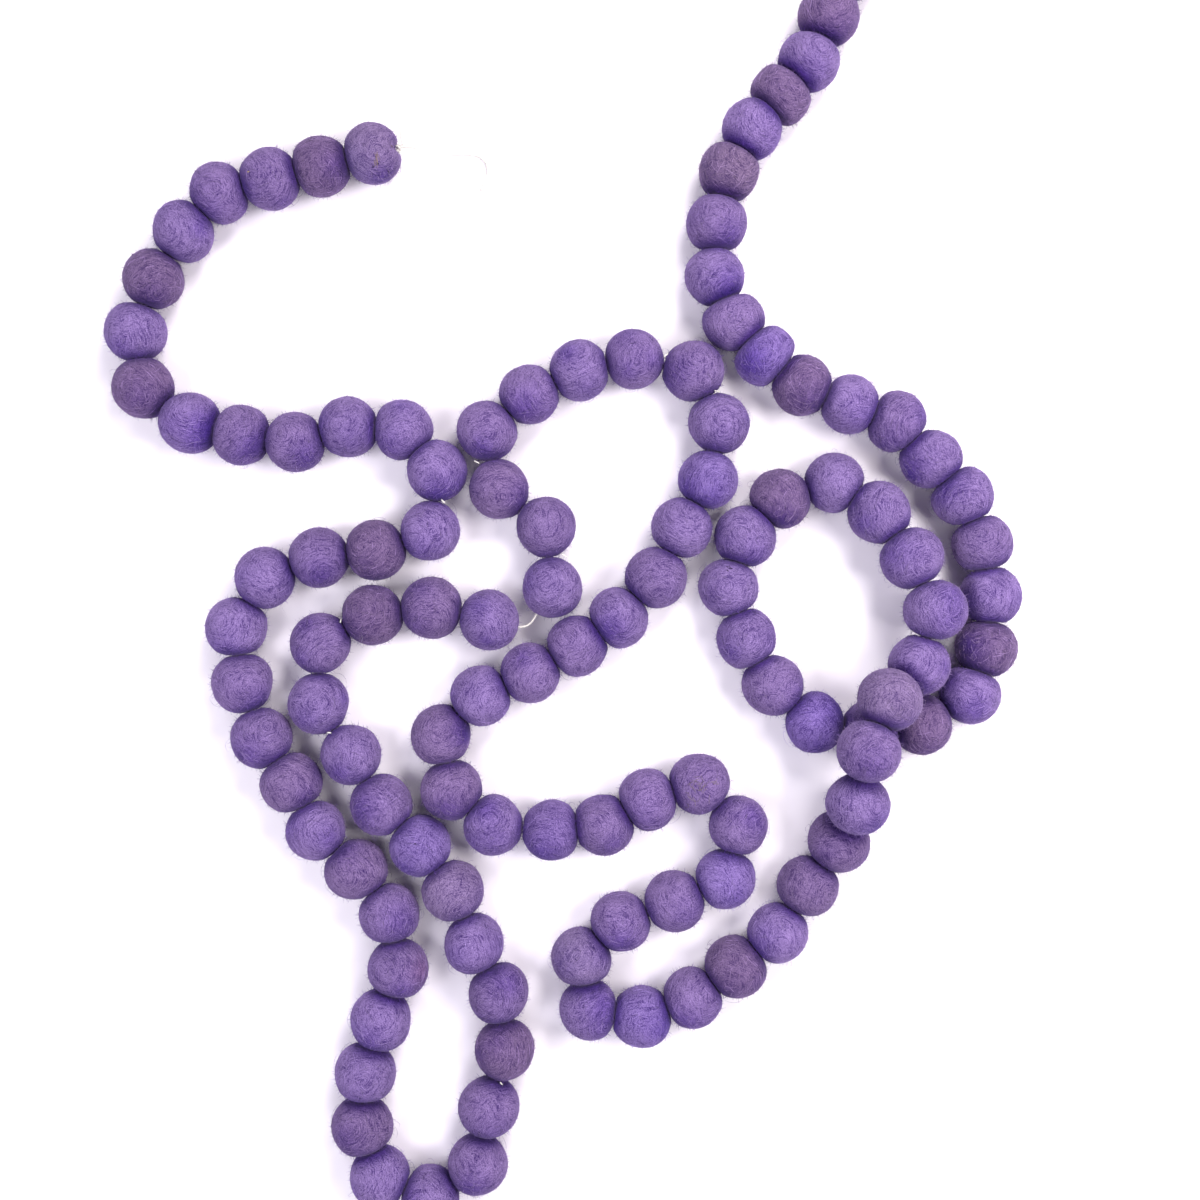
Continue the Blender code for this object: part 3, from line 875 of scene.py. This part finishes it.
class Stock:
    """Vertices and faces gathered for one mesh, with each vertex's tint, roll and seed."""

    def __init__(self):
        self.places = []
        self.faces = []
        self.slots = []
        self.tints = []
        self.rolls = []
        self.seeds = []
        self.count = 0

    def add(self, places, faces, slot, tints, rolls, seed):
        self.places.append(places)
        self.faces += (faces + self.count).tolist()
        self.slots += [slot] * len(faces)
        self.tints.append(tints)
        self.rolls.append(rolls)
        self.seeds.append(np.full(len(places), float(seed)))
        self.count += len(places)

    def make_piece(self, name, materials):
        mesh = bpy.data.meshes.new(name)
        mesh.from_pydata(in_part_frame(np.concatenate(self.places)).tolist(), [], self.faces)
        for material in materials:
            mesh.materials.append(material)
        mesh.polygons.foreach_set("material_index", self.slots)
        colours = np.ones((self.count, 4))
        colours[:, :3] = np.concatenate(self.tints)
        mesh.attributes.new("tint", "FLOAT_COLOR", "POINT").data.foreach_set("color", colours.ravel())
        mesh.attributes.new("roll", "FLOAT_VECTOR", "POINT").data.foreach_set(
            "vector", np.concatenate(self.rolls).ravel())
        mesh.attributes.new("seed", "FLOAT", "POINT").data.foreach_set("value", np.concatenate(self.seeds))
        mesh.shade_smooth()
        piece = bpy.data.objects.new(name, mesh)
        bpy.context.collection.objects.link(piece)
        return piece


def add_hairs(stock, shape, places, faces, count, brightness, colour):
    """Hairs of like shape, each of its own brightness, greyer than the felt, with painted crease shade."""
    levels = shape.draw.uniform(*brightness, count)[:, None]
    grey = (1 - HAIR_GREYNESS) * colour + HAIR_GREYNESS * colour.mean()
    tints = np.repeat(grey * levels, len(places) // count, axis=0)
    # Painted shade on hairs that lie in a crease between balls
    tints *= shape.painted_crease_shade(places)
    stock.add(places, faces, 1, np.minimum(tints, PALEST_HAIR), np.zeros((len(places), 3)), 0)


def add_fibres(stock, shape, fibres, colour):
    paths = fibre_paths(shape, fibres)
    places, faces = spindles(paths, fibres.thickness)
    add_hairs(stock, shape, places, faces, len(paths), fibres.brightness, colour)


def add_nap(stock, shape, colour):
    places, faces = nap_hairs(shape)
    add_hairs(stock, shape, places, faces, len(places) // CONE_CORNERS, NAP_BRIGHTNESS, colour)


def add_caught(stock, shape):
    for caught in CAUGHT:
        if caught.ball != shape.ball.number:
            continue
        places, faces = spindles(caught_paths(shape, caught), caught.thickness)
        add_hairs(stock, shape, places, faces, caught.count, CAUGHT_BRIGHTNESS, np.array(caught.colour))


def blotches(shape):
    """The ball's own deeper blotches, as casts: partly uneven dye, partly painted shade on its lower side."""
    draw = shape.draw
    made = []
    for _ in range(BLOTCHES):
        facing = draw.normal(*BLOTCH_FACING)
        height = draw.uniform(*BLOTCH_HEIGHT)
        change = 1 + (np.array(BLOTCH_CHANGE) - 1) * draw.uniform(*BLOTCH_STRENGTH)
        made.append(Cast(shape.ball.number, facing, height, draw.uniform(*BLOTCH_SPREAD), tuple(change)))
    return made


def cast_tints(shape, directions, colour):
    """The colour of each place on a ball, changed over the sides listed for it and over its blotches, partly
    painted shade.
    """
    tints = np.tile(colour, (len(directions), 1))
    own_casts = [cast for cast in CASTS if cast.ball == shape.ball.number]
    # The blotches add painted shade, mostly on the ball's lower side
    for cast in own_casts + blotches(shape):
        facing = math.radians(cast.facing)
        height = math.radians(cast.height)
        flat = math.cos(height)
        towards = (math.cos(facing) * flat, math.sin(facing) * flat, math.sin(height))
        angles = np.arccos(np.clip(directions @ towards, -1, 1))
        share = np.exp(-(angles / math.radians(cast.spread)) ** 2)[:, None]
        tints *= 1 + (np.array(cast.change) - 1) * share
    return tints


def make_felt_section(balls, all_balls, ball_form, materials):
    """The balls of one section with their loose fibres, in place of its solid."""
    directions, faces = ball_form
    first = balls[0].number
    last = balls[-1].number
    stock = Stock()
    for ball in balls:
        bare_ends = []
        if ball.number == all_balls[0].number:
            bare_ends.append(-ball.along)
        if ball.number == all_balls[-1].number:
            bare_ends.append(ball.along)
        shape = Shape(ball, all_balls, bare_ends)
        colour = shape.tint()
        turned = directions @ shape.turn.T
        skin = shape.surface(turned)
        # Casts and blotches, the blotches partly painted shade on the ball's lower side
        tints = cast_tints(shape, turned, colour)
        # Painted shade in the creases between balls
        tints *= shape.painted_crease_shade(skin)
        stock.add(skin, faces, 0, tints, directions, ball.number * SEED_STEP)
        add_fibres(stock, shape, LAID_FIBRES, colour)
        add_nap(stock, shape, colour)
        add_fibres(stock, shape, STRAY_FIBRES, colour)
        add_caught(stock, shape)
        if ball.shade == "D":
            add_fibres(stock, shape, DUSKY_FIBRES, colour)
    piece = stock.make_piece(f"felt_{first:03d}_{last:03d}", materials)
    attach(piece, "root")
    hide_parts(f"balls_{first:03d}_{last:03d}")


# The string

def smooth_route(places, spacing):
    """Points about evenly spaced on the smooth curve through the places."""
    slopes = [after - before for before, after in zip(places, places[2:])]
    slopes = [places[1] - places[0]] + [slope / 2 for slope in slopes] + [places[-1] - places[-2]]
    points = [places[0]]
    for index in range(len(places) - 1):
        start = places[index]
        end = places[index + 1]
        steps = max(1, round((end - start).length / spacing))
        start_handle = start + slopes[index] / 3
        end_handle = end - slopes[index + 1] / 3
        points += interpolate_bezier(start, start_handle, end_handle, end, steps + 1)[1:]
    return points


def dimple_place(ball, direction):
    """Where a string's end face sits in the dimple of a free end."""
    return ball.centre + direction * (ball.radius * FACET_GROWTH - DIMPLE_DEPTH + PIECE_GAP)


def twisted_strand(points, diameter):
    """Plies twisted together along the points, closed at both ends: vertices and triangles."""
    route = np.array(points)
    along = np.gradient(route, axis=0)
    along = unit(along)
    aside = np.cross(along[0], SKEW)
    sides = []
    for direction in along:
        aside = aside - direction * (aside @ direction)
        aside = aside / np.linalg.norm(aside)
        sides.append(aside)
    sides = np.array(sides)
    ups = np.cross(along, sides)
    gone = np.append(0, np.cumsum(np.linalg.norm(np.diff(route, axis=0), axis=1)))
    turns = np.linspace(0, 2 * math.pi, STRING_SIDES, endpoint=False)[None, :]
    phases = turns - 2 * math.pi * gone[:, None] / PLY_TURN
    radii = diameter / 2 * (STRING_FULLNESS - PLY_DEPTH * (1 - np.abs(np.cos(PLIES / 2 * phases))))
    radii[[0, -1]] *= END_CLOSING
    outward = sides[:, None] * np.cos(turns)[..., None] + ups[:, None] * np.sin(turns)[..., None]
    rings = route[:, None] + outward * radii[..., None]
    places = np.concatenate((rings.reshape(-1, 3), route[:1], route[-1:]))
    return places, tube_faces(len(route))


def tube_faces(rings):
    """The triangles of a closed tube of rings, whose last two vertices are the middles of its ends."""
    sides = STRING_SIDES
    first_end = rings * sides
    faces = []
    for side in range(sides):
        following = (side + 1) % sides
        faces.append((first_end, following, side))
        faces.append((first_end + 1, first_end - sides + side, first_end - sides + following))
        for ring in range(rings - 1):
            low = ring * sides
            faces.append((low + side, low + following, low + sides + following))
            faces.append((low + side, low + sides + following, low + sides + side))
    return np.array(faces)


def cotton_hairs(draw, points, diameter, hairs):
    """Fine hairs that stand off a string on all sides."""
    route = np.array(points)
    chosen = draw.integers(0, len(route), hairs.count)
    outward = draw.normal(size=(hairs.count, 3))
    outward = unit(outward)
    feet = route[chosen] + outward * diameter * COTTON_ROOT
    return cones(feet, outward, draw.uniform(*hairs.lengths, hairs.count), COTTON_HAIR)


def overhand_knot(centre, axis):
    """A small tight knot lying across the axis: its centreline, closed."""
    side = axis.orthogonal().normalized()
    other = axis.cross(side)
    points = []
    for step in range(KNOT_STEPS + 1):
        angle = 2 * math.pi * step / KNOT_STEPS
        across = math.sin(angle) + 2 * math.sin(2 * angle)
        up = math.cos(angle) - 2 * math.cos(2 * angle)
        flat = KNOT_SIZE * (side * across + other * up)
        points.append(centre + flat - axis * KNOT_SIZE * math.sin(3 * angle))
    return points


def add_cotton(stock, mesh_parts):
    places, faces = mesh_parts
    stock.add(places, faces, 0, np.ones((len(places), 3)), np.zeros((len(places), 3)), 0)


def make_string_piece(name, routes, hairs, material):
    """Twisted strands, each of its points and its diameter, with fine hairs."""
    stock = Stock()
    draw = np.random.default_rng(hairs.seed)
    for points, diameter in routes:
        add_cotton(stock, twisted_strand(points, diameter))
        add_cotton(stock, cotton_hairs(draw, points, diameter, hairs))
    piece = stock.make_piece(name, (material,))
    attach(piece, "root")
    return piece


def make_loose_end(ball, material):
    """The free end of the string, from the first ball's dimple down to the surface, and its knot."""
    start = dimple_place(ball, -ball.along)
    places = [start] + [Vector(place) for place in LOOSE_END]
    points = smooth_route(places, STRING_SPACING)
    cord = make_string_piece("loose_string", [(points, STRING_DIAMETER)], LOOSE_END_HAIRS, material)
    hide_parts("string_loose_end")
    end = smooth_route([Vector(place) for place in KNOT_END], STRING_SPACING)
    knot_centre = start + ball.along * KNOT_SUNK
    routes = [(overhand_knot(knot_centre, ball.along), KNOT_STRAND), (end, THIN_STRAND)]
    knot = make_string_piece("first_knot", routes, FIRST_KNOT_HAIRS, material)
    path = in_part_frame(smooth_route(places, STRING_STEP)).tolist()


def make_bare_string(material):
    """The stretch of string that shows where two balls are not pushed together."""
    points = smooth_route([Vector(place) for place in BARE_STRETCH], STRING_SPACING)
    piece = make_string_piece("bare_string", [(points, BARE_STRAND)], BARE_STRING_HAIRS, material)
    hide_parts("string_in_gap")


def make_last_knot(ball, material):
    """The knot that holds the last ball on the string."""
    centre = dimple_place(ball, ball.along) + ball.along * KNOT_RADIUS
    routes = [(overhand_knot(centre, ball.along), KNOT_STRAND)]
    piece = make_string_piece("last_knot", routes, LAST_KNOT_HAIRS, material)
    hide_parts("string_knot")


def make_glimpses(balls, material):
    """Short bits of the string that show in the creases between balls."""
    routes = []
    for glimpse in GLIMPSES:
        ball = balls[glimpse.after - 1]
        following = balls[glimpse.after]
        along = (following.centre - ball.centre).normalized()
        left = UP.cross(along).normalized()
        height = math.sqrt(glimpse.out ** 2 - glimpse.left ** 2)
        middle = (ball.centre + following.centre) / 2 + left * glimpse.left + along.cross(left) * height
        reach = (left * GLIMPSE_LEFT + along * GLIMPSE_ALONG) * glimpse.length / 2
        places = [middle - reach, middle + along.cross(left) * GLIMPSE_RISE, middle + reach]
        routes.append((smooth_route(places, STRING_SPACING), GLIMPSE_STRAND))
    make_string_piece("string_glimpses", routes, GLIMPSE_HAIRS, material)


def main():
    make_camera()
    sections = FIRST_STRETCH + SECOND_STRETCH
    runs = []
    number = 1
    for section in sections:
        runs.append(section_balls(section, number))
        number += len(section.shades)
    all_balls = [ball for run in runs for ball in run]
    cotton = make_cotton()
    make_loose_end(all_balls[0], cotton)
    make_bare_string(cotton)
    make_last_knot(all_balls[-1], cotton)
    make_glimpses(all_balls, cotton)
    make_lights()
    make_floor()
    ball_form = cube_sphere(BALL_STEPS)
    materials = (make_felt(), make_fibre())
    for run in runs:
        make_felt_section(run, all_balls, ball_form, materials)


main()
